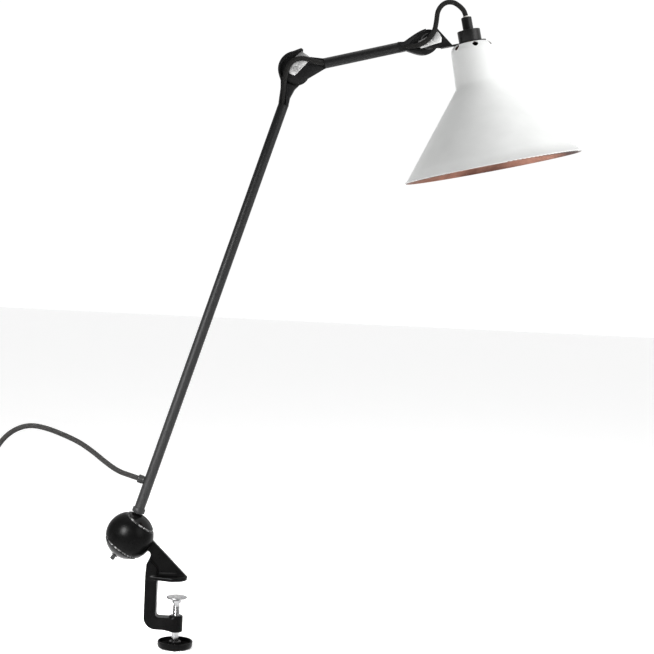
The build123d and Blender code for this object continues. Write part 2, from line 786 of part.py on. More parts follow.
TAIL_ROUTE = [
    (SWITCH_LEFT + 4.0, SWITCH_Y, SWITCH_Z),
    (SWITCH_LEFT - 23.0, SWITCH_Y, SWITCH_Z),
    (SWITCH_LEFT - 46.5, SWITCH_Y + 17.5, FLOOR + 5.5),
    (SWITCH_LEFT - 53.5, SWITCH_Y + 47.5, FLOOR + 4.5),
    (COIL_X - COIL_R - 9.5, COIL_Y - 13.0, FLOOR + 4.5),
    (COIL_X - COIL_R, COIL_Y + 2.0, FLOOR + 4.5),
]
END_ROUTE = [
    (COIL_X, COIL_Y + COIL_R, FLOOR + 11.5),
    (COIL_X + 22.0, COIL_Y + COIL_R + 1.0, FLOOR + 11.0),
    (COIL_X + 42.0, COIL_Y + COIL_R - 2.0, FLOOR + 8.0),
    (PLUG_X, PLUG_Y, PLUG_Z),
]


def mains_coil():
    """Outer shape of the tied coil: turns three wide and two high."""
    section = Pos(COIL_R, COIL_HEIGHT / 2) * RectangleRounded(COIL_WIDTH, COIL_HEIGHT, CORD_R - 0.1)
    coil = revolve(Plane.XZ * section, Axis.Z)
    return Pos(COIL_X, COIL_Y, FLOOR + TIE) * coil


def coil_tie():
    """Strap round the coil's turns."""
    middle = Pos(COIL_X + COIL_R, COIL_Y, FLOOR + TIE + COIL_HEIGHT / 2)
    outer = Box(COIL_WIDTH + 2 * TIE + 1.6, 8.0, COIL_HEIGHT + 2 * TIE)
    inner = Box(COIL_WIDTH + 1.6, 10.0, COIL_HEIGHT)
    outer = fillet(outer.edges().filter_by(Axis.Y), 3.0)
    inner = fillet(inner.edges().filter_by(Axis.Y), 2.4)
    return middle * (outer - inner)


def switch_shell():
    """Whole outer shape of the in-line switch."""
    length = SWITCH_RIGHT - SWITCH_LEFT
    shell = Box(length, 27.0, 19.0)
    shell = fillet(shell.edges().filter_by(Axis.Z), 8.0)
    shell = fillet(shell.edges().group_by(Axis.Z)[-1], 2.5)
    shell = fillet(shell.edges().group_by(Axis.Z)[0], 1.5)
    place = Pos((SWITCH_LEFT + SWITCH_RIGHT) / 2, SWITCH_Y, FLOOR + 9.5)
    bore_start = Vector(SWITCH_LEFT - 5, SWITCH_Y, SWITCH_Z)
    bore_end = Vector(SWITCH_RIGHT + 5, SWITCH_Y, SWITCH_Z)
    bore = rod(bore_start, bore_end, CORD_R + 0.1)
    hollow = place * Pos(0, 0, -0.5) * Box(length - 18, 20.0, 14.0)
    return place * shell - bore - hollow


def switch_halves():
    """Base and cover of the switch, parted at the cord's height."""
    shell = switch_shell()
    middle = (SWITCH_LEFT + SWITCH_RIGHT) / 2
    below = Pos(middle, SWITCH_Y, SWITCH_Z - 20) * Box(100, 60, 40)
    window = Pos(middle, SWITCH_Y, FLOOR + 17) * Box(21.4, 13.4, 8)
    return shell & below, shell - below - window


def switch_rocker():
    """Rocker with two sloping halves, turning on a pin across the switch."""
    middle = (SWITCH_LEFT + SWITCH_RIGHT) / 2
    side = polygon((-8.6, -2.8), (-8.6, 4.6), (0, 2.6), (8.6, 2.2), (8.6, -2.8), (4, -5.6), (-4, -5.6))
    rocker = slab(side, -6.4, 6.4)
    pin = rod(Vector(0, -9.6, -3.2), Vector(0, 9.6, -3.2), 1.4)
    return Pos(middle, SWITCH_Y, ROCKER_Z) * (rocker + pin)


def plug_body():
    """Flat two-pin plug, narrowing to the lead."""
    half = ((0, 5.2), (7, 6.4), (12, 12.6), (33, 13.2), (35, 12.0))
    outline = polygon(*half, *((x, -y) for x, y in reversed(half)))
    body = extrude(outline, amount=13.6)
    body = fillet(body.edges().group_by(Axis.Z)[-1] + body.edges().group_by(Axis.Z)[0], 1.6)
    body = Pos(PLUG_X, PLUG_Y, FLOOR) * body
    lead = rod(Vector(PLUG_X - 5, PLUG_Y, PLUG_Z), Vector(PLUG_X + 8, PLUG_Y, PLUG_Z), CORD_R + 0.1)
    return body - lead - Compound(children=plug_pins())


def plug_pins():
    """Two round contact pins."""
    pins = []
    for y in (PLUG_Y - PIN_SPACING / 2, PLUG_Y + PIN_SPACING / 2):
        pin = rod(Vector(PLUG_X + 25, y, PLUG_Z), Vector(PLUG_X + 54, y, PLUG_Z), 2.0)
        pins.append(fillet(pin.edges().filter_by(GeomType.CIRCLE).sort_by(Axis.X)[-1], 1.2))
    return pins


if __name__ == "__main__":
    save("clamp_body", clamp_body())
    save("clamp_screw", clamp_screw())
    save("screw_pad", screw_pad())
    save("hand_wheel", hand_wheel())
    save("wheel_pin", wheel_pin())
    save("ball_core", ball_core())
    save("ball_lower_cap", ball_lower_cap())
    save("lower_friction_ring", lower_friction_ring())
    save("upper_friction_shoes", *upper_friction_shoes())
    save("tie_screw", tie_screw())
    save("arm_pin", arm_pin())
    save("lower_tongue", lower_tongue())
    save("lower_tube", lower_tube())
    save("lower_ferrule", lower_ferrule())
    save("gland_body", gland_body())
    save("gland_nut", gland_nut())
    save("lower_lead", lower_lead())
    save("elbow_hood", elbow_hood())
    save("elbow_plate", upper_elbow_plate())
    save("elbow_friction_disc", elbow_friction_disc())
    save("elbow_steel_plate", elbow_steel_plate())
    save("elbow_bolt", joint_bolt(ELBOW, -1.55, BACK_Y + SHEET))
    save("elbow_nut", hexagon_nut(ELBOW, BACK_Y + SHEET))
    save("upper_tube", upper_tube())
    save("upper_lead", upper_lead())
    save("head_leaf", head_leaf())
    save("head_bracket", head_bracket())
    save("head_friction_disc", head_friction_disc())
    save("head_steel_plate", head_steel_plate())
    save("head_bolt", joint_bolt(HEAD, -1.55, BACK_Y + SHEET))
    save("head_nut", hexagon_nut(HEAD, BACK_Y + SHEET))
    save("lampholder_cap", lampholder_cap())
    save("cord_grip", cord_grip())
    save("hollow_nipple", hollow_nipple())
    save("nipple_nut", nipple_nut())
    save("shade", shade())
    save("shade_ring", shade_ring())
    save("lampholder_body", lampholder_body())
    save("centre_contact", centre_contact())
    save("bulb_base", bulb_base())
    save("bulb_glass", bulb_glass())
    save("elbow_cable", cable("elbow_cable", ELBOW_ROUTE, CABLE_R))
    save("head_cable", cable("head_cable", HEAD_ROUTE, CABLE_R))
    save("mains_cord_upper", cable("mains_cord_upper", UPPER_CORD_ROUTE, CORD_R))
    save("mains_cord_lower", cable("mains_cord_lower", LOWER_CORD_ROUTE, CORD_R))
    save("mains_cord_tail", cable("mains_cord_tail", TAIL_ROUTE, CORD_R))
    save("mains_cord_end", cable("mains_cord_end", END_ROUTE, CORD_R))
    save("mains_coil", mains_coil())
    save("coil_tie", coil_tie())
    base, cover = switch_halves()
    save("switch_base", base)
    save("switch_cover", cover)
    save("switch_rocker", switch_rocker())
    save("plug_body", plug_body())
    save("plug_pins", *plug_pins())
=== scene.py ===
import json
import math

import bmesh
import bpy
from mathutils import Matrix, Vector


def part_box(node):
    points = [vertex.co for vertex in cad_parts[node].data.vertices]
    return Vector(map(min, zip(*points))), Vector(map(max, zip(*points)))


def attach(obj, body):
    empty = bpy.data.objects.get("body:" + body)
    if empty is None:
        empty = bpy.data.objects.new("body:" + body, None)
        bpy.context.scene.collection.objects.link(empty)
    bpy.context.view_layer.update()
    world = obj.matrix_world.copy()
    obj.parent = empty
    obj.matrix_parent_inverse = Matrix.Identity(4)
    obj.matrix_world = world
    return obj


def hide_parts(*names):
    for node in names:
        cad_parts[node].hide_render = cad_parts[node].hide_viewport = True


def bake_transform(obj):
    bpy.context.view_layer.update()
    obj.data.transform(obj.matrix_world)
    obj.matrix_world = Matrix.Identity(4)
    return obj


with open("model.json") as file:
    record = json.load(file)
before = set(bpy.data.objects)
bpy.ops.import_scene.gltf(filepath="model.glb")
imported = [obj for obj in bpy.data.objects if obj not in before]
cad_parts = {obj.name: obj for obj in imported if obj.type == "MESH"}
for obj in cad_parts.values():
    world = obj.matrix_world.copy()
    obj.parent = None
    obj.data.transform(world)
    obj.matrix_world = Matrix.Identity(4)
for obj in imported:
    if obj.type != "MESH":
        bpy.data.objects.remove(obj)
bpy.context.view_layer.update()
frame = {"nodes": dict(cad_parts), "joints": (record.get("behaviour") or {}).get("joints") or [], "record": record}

# Architect desk lamp. Lengths are metres in the lamp's own frame: origin under the clamp's upper jaw,
# +Z up along its spine, +X towards the jaw's open end, arms in the plane Y = 0.
MM = 0.001
SCENE = bpy.context.scene
BODY_OF = {n: b for b, ns in frame["record"]["behaviour"]["bodies"].items() for n in ns}
SLOT_OF = {s["node"]: s["material_slot"] for s in frame["record"]["subparts"]}
JOINT = {j["name"]: j for j in frame["joints"]}
BALL = Vector(JOINT["arm_tilt"]["pos_m"])
ELBOW = Vector(JOINT["elbow"]["pos_m"])
HEAD = Vector(JOINT["head_tilt"]["pos_m"])
LOWER_AXIS = (ELBOW - BALL).normalized()
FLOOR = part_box("hand_wheel")[0].z
ACROSS = Vector((0, -1, 0))


def mm(x, y, z):
    """Point given in millimetres."""
    return Vector((x, y, z)) * MM


def link(obj):
    """Put an object into the scene."""
    SCENE.collection.objects.link(obj)
    return obj


def mesh_object(name, mesh):
    """Object in the scene that shows a mesh."""
    return link(bpy.data.objects.new(name, mesh))


# ---------------------------------------------------------------- camera
CAMERA_AT = Vector((0.1824, -1.968, 0.4591))
CAMERA_AIM = Vector((0.1874, 0.0, 0.3540))
CAMERA_UP = Vector((-0.0471, 0.0, 0.9989))
CAMERA_LENS = 80.3


def make_camera():
    """Camera at the height of the arms, rolled a little so that the clamp leans as it does in use."""
    data = bpy.data.cameras.new("camera")
    data.lens = CAMERA_LENS
    data.sensor_width = 36.0
    camera = link(bpy.data.objects.new("camera", data))
    back = (CAMERA_AT - CAMERA_AIM).normalized()
    right = CAMERA_UP.cross(back).normalized()
    up = back.cross(right)
    turn = Matrix((right, up, back)).transposed().to_4x4()
    camera.matrix_world = Matrix.Translation(CAMERA_AT) @ turn
    SCENE.camera = camera


make_camera()


# ---------------------------------------------------------------- materials
class Finish:
    """One procedural material: its principled shader and the nodes that feed it."""

    def __init__(self, name, color, roughness, metallic=0.0, specular=0.5, coat=0.0, coat_roughness=0.1):
        self.material = bpy.data.materials.new(name)
        self.material.use_nodes = True
        self.nodes = self.material.node_tree.nodes
        self.links = self.material.node_tree.links
        self.shader = self.nodes["Principled BSDF"]
        self.shader.inputs["Base Color"].default_value = (*color, 1)
        self.shader.inputs["Roughness"].default_value = roughness
        self.shader.inputs["Metallic"].default_value = metallic
        self.shader.inputs["Specular IOR Level"].default_value = specular
        self.shader.inputs["Coat Weight"].default_value = coat
        self.shader.inputs["Coat Roughness"].default_value = coat_roughness
        self.bumps = None

    def node(self, kind, **settings):
        """New shader node with its settings."""
        node = self.nodes.new(kind)
        for key, value in settings.items():
            setattr(node, key, value)
        return node

    def coords(self, scale):
        """Object coordinates in metres, stretched by scale."""
        source = self.node("ShaderNodeTexCoord")
        mapping = self.node("ShaderNodeMapping")
        mapping.inputs["Scale"].default_value = scale
        self.links.new(source.outputs["Object"], mapping.inputs["Vector"])
        return mapping.outputs["Vector"]

    def noise(self, grains_per_m, detail=3.0, rough=0.55, stretch=(1, 1, 1)):
        """Noise with that many grains to the metre."""
        texture = self.node("ShaderNodeTexNoise")
        texture.inputs["Scale"].default_value = grains_per_m
        texture.inputs["Detail"].default_value = detail
        texture.inputs["Roughness"].default_value = rough
        self.links.new(self.coords(stretch), texture.inputs["Vector"])
        return texture.outputs["Fac"]

    def spread(self, value, low, high, start=0.3, end=0.7):
        """Map a texture's value to the range from low to high."""
        ramp = self.node("ShaderNodeMapRange")
        ramp.inputs["From Min"].default_value = start
        ramp.inputs["From Max"].default_value = end
        ramp.inputs["To Min"].default_value = low
        ramp.inputs["To Max"].default_value = high
        self.links.new(value, ramp.inputs["Value"])
        return ramp.outputs["Result"]

    def roughness(self, value):
        """Let a texture's value set the roughness."""
        self.links.new(value, self.shader.inputs["Roughness"])

    def color(self, factor, first, second):
        """Base colour that a factor mixes from the first colour to the second."""
        mix = self.node("ShaderNodeMix", data_type="RGBA")
        mix.inputs["A"].default_value = (*first, 1)
        mix.inputs["B"].default_value = (*second, 1)
        self.links.new(factor, mix.inputs["Factor"])
        self.links.new(mix.outputs["Result"], self.shader.inputs["Base Color"])

    def bump(self, height, depth, strength=1.0):
        """Add relief of that depth in metres."""
        node = self.node("ShaderNodeBump")
        node.inputs["Distance"].default_value = depth
        node.inputs["Strength"].default_value = strength
        self.links.new(height, node.inputs["Height"])
        if self.bumps is not None:
            self.links.new(self.bumps, node.inputs["Normal"])
        self.bumps = node.outputs["Normal"]
        self.links.new(self.bumps, self.shader.inputs["Normal"])


def satin_black():
    """Fine-textured black paint on the tubes and stampings."""
    f = Finish("satin_black_paint", (0.008, 0.008, 0.008), 0.42, specular=0.26)
    grain = f.noise(1500, 4.0, 0.65)
    f.color(f.spread(grain, 0, 1, 0.38, 0.7), (0.003, 0.003, 0.003), (0.026, 0.026, 0.027))
    f.roughness(f.spread(f.noise(320, 3.0), 0.34, 0.52))
    f.bump(grain, 0.00012, 1.0)
    return f.material


def cast_enamel():
    """Black stove enamel over the clamp's casting and the hand wheel."""
    f = Finish("cast_black_enamel", (0.002, 0.002, 0.002), 0.3, specular=0.05)
    f.color(f.spread(f.noise(60, 4.0), 0, 1), (0.0006, 0.0006, 0.0006), (0.0022, 0.0022, 0.0022))
    f.roughness(f.spread(f.noise(900, 3.0), 0.24, 0.38))
    f.bump(f.noise(260, 2.0), 0.00022, 0.5)
    f.bump(f.noise(1500, 2.0), 0.00004, 0.6)
    return f.material


def polished_enamel():
    """Smoother, glossier enamel on the turned ball."""
    f = Finish(
        "polished_black_enamel", (0.002, 0.002, 0.002), 0.16, specular=0.02, coat=0.32, coat_roughness=0.11,
    )
    f.color(f.spread(f.noise(90, 3.0), 0, 1), (0.0005, 0.0005, 0.0005), (0.0018, 0.0018, 0.0018))
    f.roughness(f.spread(f.noise(500, 4.0), 0.13, 0.24))
    f.bump(f.noise(420, 2.0), 0.00006, 0.5)
    return f.material


def bright_steel():
    """Turned steel of the clamp screw, its pad, the nuts and the bulb's base, with fine turning marks."""
    f = Finish("bright_steel", (0.72, 0.72, 0.73), 0.24, metallic=1.0)
    f.color(f.spread(f.noise(180, 4.0), 0, 1), (0.16, 0.16, 0.165), (0.4, 0.4, 0.4))
    brushed = f.noise(900, 3.0, stretch=(1, 1, 14))
    f.roughness(f.spread(brushed, 0.13, 0.3))
    f.bump(brushed, 0.00002, 0.5)
    return f.material


def plated_steel():
    """Zinc-plated steel of the joints' pressure plates and bolts, duller than the turned parts."""
    f = Finish("plated_sheet_steel", (0.85, 0.85, 0.85), 0.44, metallic=1.0)
    f.color(f.spread(f.noise(220, 4.0), 0, 1), (0.82, 0.82, 0.82), (0.98, 0.98, 0.97))
    rolled = f.noise(700, 3.0, stretch=(1, 1, 8))
    f.roughness(f.spread(rolled, 0.34, 0.52))
    f.bump(rolled, 0.00003, 0.6)
    return f.material


def groove_shade_steel():
    """Oiled steel of the friction rings, made very dark as painted shade of the ball's grooves that they sit in,
    with random lighter patches.
    """
    f = Finish("groove_shade_steel", (0.1, 0.1, 0.1), 0.34, metallic=1.0)
    f.color(f.spread(f.noise(260, 4.0), 0, 1, 0.45, 0.62), (0.02, 0.02, 0.02), (0.34, 0.34, 0.34))
    f.roughness(f.spread(f.noise(900, 3.0), 0.26, 0.46))
    f.bump(f.noise(1300, 3.0), 0.00002, 0.5)
    return f.material


def phenolic():
    """Pressed black phenolic of the lampholder and of the gland on the lower arm."""
    f = Finish("black_phenolic", (0.006, 0.006, 0.006), 0.36, specular=0.32)
    f.color(f.spread(f.noise(450, 4.0), 0, 1), (0.004, 0.004, 0.004), (0.012, 0.012, 0.012))
    f.roughness(f.spread(f.noise(700, 3.0), 0.28, 0.44))
    f.bump(f.noise(1300, 3.0), 0.00004, 0.6)
    return f.material


def white_paint():
    """Matt white powder coat outside the shade."""
    f = Finish("matt_white_paint", (0.83, 0.84, 0.83), 0.5, specular=0.4)
    f.color(f.spread(f.noise(25, 3.0), 0, 1), (0.80, 0.81, 0.80), (0.85, 0.86, 0.85))
    f.roughness(f.spread(f.noise(240, 3.0), 0.44, 0.58))
    f.bump(f.noise(1100, 3.0), 0.00005, 0.5)
    return f.material


def copper_paint():
    """Satin copper inside the shade, with broad light and dark patches stretched along the height as painted
    reflections.
    """
    f = Finish("satin_copper", (0.2, 0.1, 0.08), 0.36, metallic=0.9, specular=0.2)
    # Painted reflections: broad patches of lighter and darker copper, stretched up and down.
    painted_reflection_patches = f.noise(11, 4.0, stretch=(1, 1, 0.2))
    f.color(f.spread(painted_reflection_patches, 0, 1, 0.38, 0.62), (0.05, 0.02, 0.017), (0.3, 0.15, 0.11))
    f.roughness(f.spread(f.noise(500, 4.0), 0.26, 0.44))
    f.bump(f.noise(1600, 4.0), 0.00006, 0.7)
    return f.material


def textile():
    """Woven black sleeve: two sets of yarns crossing round the lead, the gaps between them painted darker as
    shade.
    """
    f = Finish("woven_textile", (0.01, 0.01, 0.01), 0.75, specular=0.12)
    f.shader.inputs["Sheen Weight"].default_value = 0.06
    f.shader.inputs["Sheen Roughness"].default_value = 0.4
    yarns = []
    for direction in (1, -1):
        wave = f.node("ShaderNodeTexWave", wave_type="BANDS", bands_direction="X", wave_profile="SIN")
        wave.inputs["Scale"].default_value = 1.0
        wave.inputs["Distortion"].default_value = 0.6
        wave.inputs["Detail"].default_value = 1.0
        mapping = f.node("ShaderNodeMapping")
        mapping.inputs["Rotation"].default_value = (0, 0, direction * math.radians(38))
        mapping.inputs["Scale"].default_value = (420, 420, 420)
        source = f.node("ShaderNodeTexCoord")
        f.links.new(source.outputs["UV"], mapping.inputs["Vector"])
        f.links.new(mapping.outputs["Vector"], wave.inputs["Vector"])
        yarns.append(wave.outputs["Fac"])
    over = f.node("ShaderNodeMath", operation="MAXIMUM")
    f.links.new(yarns[0], over.inputs[0])
    f.links.new(yarns[1], over.inputs[1])
    height = over.outputs["Value"]
    # Colour follows the weave's height: the gaps between the yarns are painted darker as painted shade.
    f.color(f.spread(height, 0, 1, 0.4, 1.0), (0.004, 0.004, 0.004), (0.032, 0.031, 0.03))
    f.bump(height, 0.0003, 0.8)
    f.bump(f.noise(4000, 2.0), 0.00005, 0.5)
    return f.material


def soft_rubber():
    """Moulded black rubber of the plug and the tie."""
    f = Finish("black_rubber", (0.01, 0.01, 0.01), 0.6, specular=0.35)
    f.color(f.spread(f.noise(300, 4.0), 0, 1), (0.007, 0.007, 0.007), (0.016, 0.016, 0.016))
    f.roughness(f.spread(f.noise(600, 3.0), 0.5, 0.7))
    f.bump(f.noise(2200, 2.0), 0.00005, 0.6)
    return f.material


def glossy_plastic():
    """Moulded black plastic of the switch."""
    f = Finish("black_plastic", (0.008, 0.008, 0.008), 0.25, specular=0.4)
    f.color(f.spread(f.noise(200, 3.0), 0, 1), (0.006, 0.006, 0.006), (0.011, 0.011, 0.011))
    f.roughness(f.spread(f.noise(500, 3.0), 0.2, 0.34))
    f.bump(f.noise(1800, 2.0), 0.00002, 0.5)
    return f.material


def pale_nylon():
    """Pale moulded nylon of the cord grip."""
    f = Finish("pale_nylon", (0.82, 0.80, 0.76), 0.45)
    f.color(f.spread(f.noise(400, 3.0), 0, 1), (0.78, 0.76, 0.71), (0.86, 0.85, 0.81))
    f.bump(f.noise(1500, 2.0), 0.00003, 0.5)
    return f.material


def brass():
    """Turned brass of the hollow nipple, its nut and the centre contact."""
    f = Finish("turned_brass", (0.72, 0.52, 0.24), 0.3, metallic=1.0)
    f.color(f.spread(f.noise(300, 4.0), 0, 1), (0.62, 0.43, 0.19), (0.78, 0.58, 0.28))
    f.roughness(f.spread(f.noise(900, 3.0), 0.22, 0.4))
    f.bump(f.noise(1700, 2.0), 0.00002, 0.5)
    return f.material


def frosted_bulb():
    """Frosted white glass."""
    f = Finish("frosted_bulb", (0.93, 0.93, 0.91), 0.35, specular=0.5)
    f.color(f.spread(f.noise(60, 3.0), 0, 1), (0.90, 0.90, 0.87), (0.95, 0.95, 0.93))
    f.roughness(f.spread(f.noise(400, 3.0), 0.3, 0.42))
    f.bump(f.noise(900, 2.0), 0.00002, 0.4)
    return f.material


STEEL = bright_steel()
TEXTILE = textile()
BLACK_RUBBER = soft_rubber()
PHENOLIC = phenolic()
CAST = cast_enamel()
MATERIAL_FOR = {
    "clamp_black": CAST,
    "ball_black": polished_enamel(),
    "arm_black": satin_black(),
    "bright_steel": STEEL,
    "wheel_black": CAST,
    "holder_black": PHENOLIC,
    "shade_white": white_paint(),
    "pale_bush": pale_nylon(),
    "brass": brass(),
    "bulb": frosted_bulb(),
    "cable_black": TEXTILE,
    "plug_black": BLACK_RUBBER,
    "switch_black": glossy_plastic(),
    "tie": BLACK_RUBBER,
}
COPPER = copper_paint()
# Steel darkened to paint the shade in the ball's grooves, for the friction rings that sit in them.
GROOVE_SHADE_STEEL = groove_shade_steel()
PLATED = plated_steel()
OTHER_FINISH = {
    "lower_friction_ring": GROOVE_SHADE_STEEL,
    "upper_friction_shoes": GROOVE_SHADE_STEEL,
    "elbow_steel_plate": PLATED,
    "elbow_bolt": PLATED,
    "head_steel_plate": PLATED,
    "head_bolt": PLATED,
}


def paint(obj, *materials):
    """Give an object these materials in place of any it has."""
    obj.data.materials.clear()
    for material in materials:
        obj.data.materials.append(material)


def paint_nodes():
    """Give each CAD node its own finish, or else the one of its slot."""
    for name, node in frame["nodes"].items():
        paint(node, OTHER_FINISH.get(name, MATERIAL_FOR[SLOT_OF[name]]))


paint_nodes()


def stand_for(piece, node):
    """The piece is shown in place of a CAD node, on its body."""
    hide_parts(node)
    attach(piece, BODY_OF[node])


def smooth_by_angle(mesh, degrees):
    """Smooth shading with sharp edges kept where the surface turns by more."""
    mesh.shade_smooth()
    mesh.set_sharp_from_angle(angle=math.radians(degrees))


# ---------------------------------------------------------------- head
SHADE_TILT = math.radians(13.2)
SHADE_AXIS = Vector((-math.sin(SHADE_TILT), 0, math.cos(SHADE_TILT)))
SHADE_TOP = mm(361.4, 0.0, 742.8)
INWARD = 0.25
DOWNWARD = 0.6


def copy_of(node):
    """Mesh object with the shape of a CAD node, to be worked on."""
    return mesh_object("shown_" + node, frame["nodes"][node].data.copy())


def make_shade():
    """The spun shade: white outside, copper inside and under its rim."""
    shade = copy_of("shade")
    paint(shade, MATERIAL_FOR["shade_white"], COPPER)
    work = bmesh.new()
    work.from_mesh(shade.data)
    bmesh.ops.remove_doubles(work, verts=work.verts, dist=1e-6)
    for face in work.faces:
        arm = face.calc_center_median() - SHADE_TOP
        depth = -arm.dot(SHADE_AXIS)
        out = arm + SHADE_AXIS * depth
        inward = face.normal.dot(out.normalized()) < -INWARD
        under = face.normal.dot(SHADE_AXIS) < -DOWNWARD
        face.material_index = 1 if inward or under else 0
    work.to_mesh(shade.data)
    work.free()
    smooth_by_angle(shade.data, 30)
    stand_for(shade, "shade")


make_shade()


# ---------------------------------------------------------------- softened stampings and castings
# Widths of the rounded edges, in millimetres.
EDGES = {
    "elbow_hood": 0.5, "elbow_plate": 0.35, "elbow_steel_plate": 0.2,
    "head_leaf": 0.5, "head_bracket": 0.35, "head_steel_plate": 0.2,
    "lampholder_cap": 0.5, "hand_wheel": 0.6, "lower_ferrule": 0.5,
    "ball_core": 0.4, "ball_lower_cap": 0.4, "gland_body": 0.3, "screw_pad": 0.3,
}


def soften(node, width):
    """Show a node with its edges rounded over by that width."""
    piece = copy_of(node)
    work = bmesh.new()
    work.from_mesh(piece.data)
    bmesh.ops.remove_doubles(work, verts=work.verts, dist=2e-6)
    bmesh.ops.dissolve_limit(work, angle_limit=math.radians(1.5), verts=work.verts, edges=work.edges)
    work.to_mesh(piece.data)
    work.free()
    modifier = piece.modifiers.new("edges", "BEVEL")
    modifier.width = width
    modifier.segments = 2
    modifier.limit_method = "ANGLE"
    modifier.angle_limit = math.radians(28)
    baked = bake(piece)
    smooth_by_angle(baked.data, 40)
    paint(baked, *frame["nodes"][node].data.materials)
    stand_for(baked, node)


def bake(piece):
    """The piece with its modifiers applied."""
    graph = bpy.context.evaluated_depsgraph_get()
    mesh = bpy.data.meshes.new_from_object(piece.evaluated_get(graph))
    name = piece.name
    bpy.data.objects.remove(piece)
    return mesh_object(name, mesh)


# The hollow corner between the clamp's fin and its jaw plate, in millimetres.
FIN_SIDE = 4.0
PLATE_TOP = 5.4
COVE = 6.5
COVE_ENDS = (-30.0, -1.0)
COVE_SINK = 1.5
COVE_STEPS = 8


def add_cove(work, side):
    """Concave fillet between the fin's side and the top of the jaw plate, as a closed prism."""
    profile = [(FIN_SIDE - COVE_SINK, PLATE_TOP - COVE_SINK), (FIN_SIDE - COVE_SINK, PLATE_TOP + COVE)]
    for i in range(COVE_STEPS + 1):
        a = math.pi - math.pi / 2 * i / COVE_STEPS
        profile.append((FIN_SIDE + COVE + COVE * math.cos(a), PLATE_TOP + COVE - COVE * math.sin(a)))
    profile.append((FIN_SIDE + COVE, PLATE_TOP - COVE_SINK))
    ends = []
    for x in COVE_ENDS:
        ends.append([work.verts.new(mm(x, side * y, z)) for y, z in profile])
    count = len(profile)
    for i in range(count):
        j = (i + 1) % count
        work.faces.new((ends[0][i], ends[0][j], ends[1][j], ends[1][i]))
    work.faces.new(ends[0][::-1])
    work.faces.new(ends[1])
    bmesh.ops.recalc_face_normals(work, faces=work.faces)


def make_casting():
    """The clamp as one casting: all its edges and inner corners are rounded."""
    piece = copy_of("clamp_body")
    work = bmesh.new()
    work.from_mesh(piece.data)
    for side in (1, -1):
        add_cove(work, side)
    work.to_mesh(piece.data)
    work.free()
    remesh = piece.modifiers.new("skin", "REMESH")
    remesh.mode = "VOXEL"
    remesh.voxel_size = 0.0008
    smooth = piece.modifiers.new("round", "SMOOTH")
    smooth.factor = 0.5
    smooth.iterations = 8
    piece = bake(piece)
    piece.data.shade_smooth()
    paint(piece, MATERIAL_FOR["clamp_black"])
    stand_for(piece, "clamp_body")


make_casting()
for edge_node, edge_width in EDGES.items():
    soften(edge_node, edge_width * MM)


# ---------------------------------------------------------------- thread of the clamp screw, in millimetres
THREAD_R = 4.98
THREAD_PITCH = 1.5
THREAD_DEPTH = 0.85
THREAD_LOW = -84.0
THREAD_HIGH = -36.0
RUN_OUT = 1.2
RUN_OUT_DEPTH = 0.5


def make_thread():
    """The helical thread, standing just inside the outline of the CAD screw's plain shank."""
    around = 36
    steps_per_pitch = 6
    low, high = THREAD_LOW, THREAD_HIGH
    rows = int((high - low) / THREAD_PITCH * steps_per_pitch)
    work = bmesh.new()
    rings = []
    for i in range(rows + 1):
        z = low + (high - low) * i / rows
        fade = min(1.0, (z - low) / RUN_OUT, (high - z) / RUN_OUT)
        ring = []
        for k in range(around):
            phase = (z / THREAD_PITCH - k / around) % 1.0
            depth = THREAD_DEPTH * abs(2 * phase - 1) * fade + RUN_OUT_DEPTH * (1 - fade)
            r = THREAD_R - depth
            a = 2 * math.pi * k / around
            ring.append(work.verts.new(mm(r * math.cos(a), r * math.sin(a), z)))
        rings.append(ring)
    for i in range(rows):
        for k in range(around):
            n = (k + 1) % around
            work.faces.new((rings[i][k], rings[i][n], rings[i + 1][n], rings[i + 1][k]))
    work.faces.new(rings[0][::-1])
    work.faces.new(rings[-1])
    mesh = bpy.data.meshes.new("thread")
    work.to_mesh(mesh)
    work.free()
    smooth_by_angle(mesh, 60)
    thread = mesh_object("screw_thread", mesh)
    paint(thread, STEEL)
    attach(thread, "spindle")


make_thread()


# ---------------------------------------------------------------- cords
def nurbs_line(points):
    """Points read along a smooth line that has these as its control points."""
    curve = bpy.data.curves.new("line", "CURVE")
    curve.dimensions = "3D"
    curve.resolution_u = 12
    spline = curve.splines.new("NURBS")
    spline.points.add(len(points) - 1)
    for control, point in zip(spline.points, points):
        control.co = (*point, 1.0)
    spline.order_u = 3
    spline.use_endpoint_u = True
    holder = bpy.data.objects.new("line", curve)
    mesh = bpy.data.meshes.new_from_object(holder)
    line = [v.co.copy() for v in mesh.vertices]
    bpy.data.objects.remove(holder)
    bpy.data.meshes.remove(mesh)
    bpy.data.curves.remove(curve)
    return line


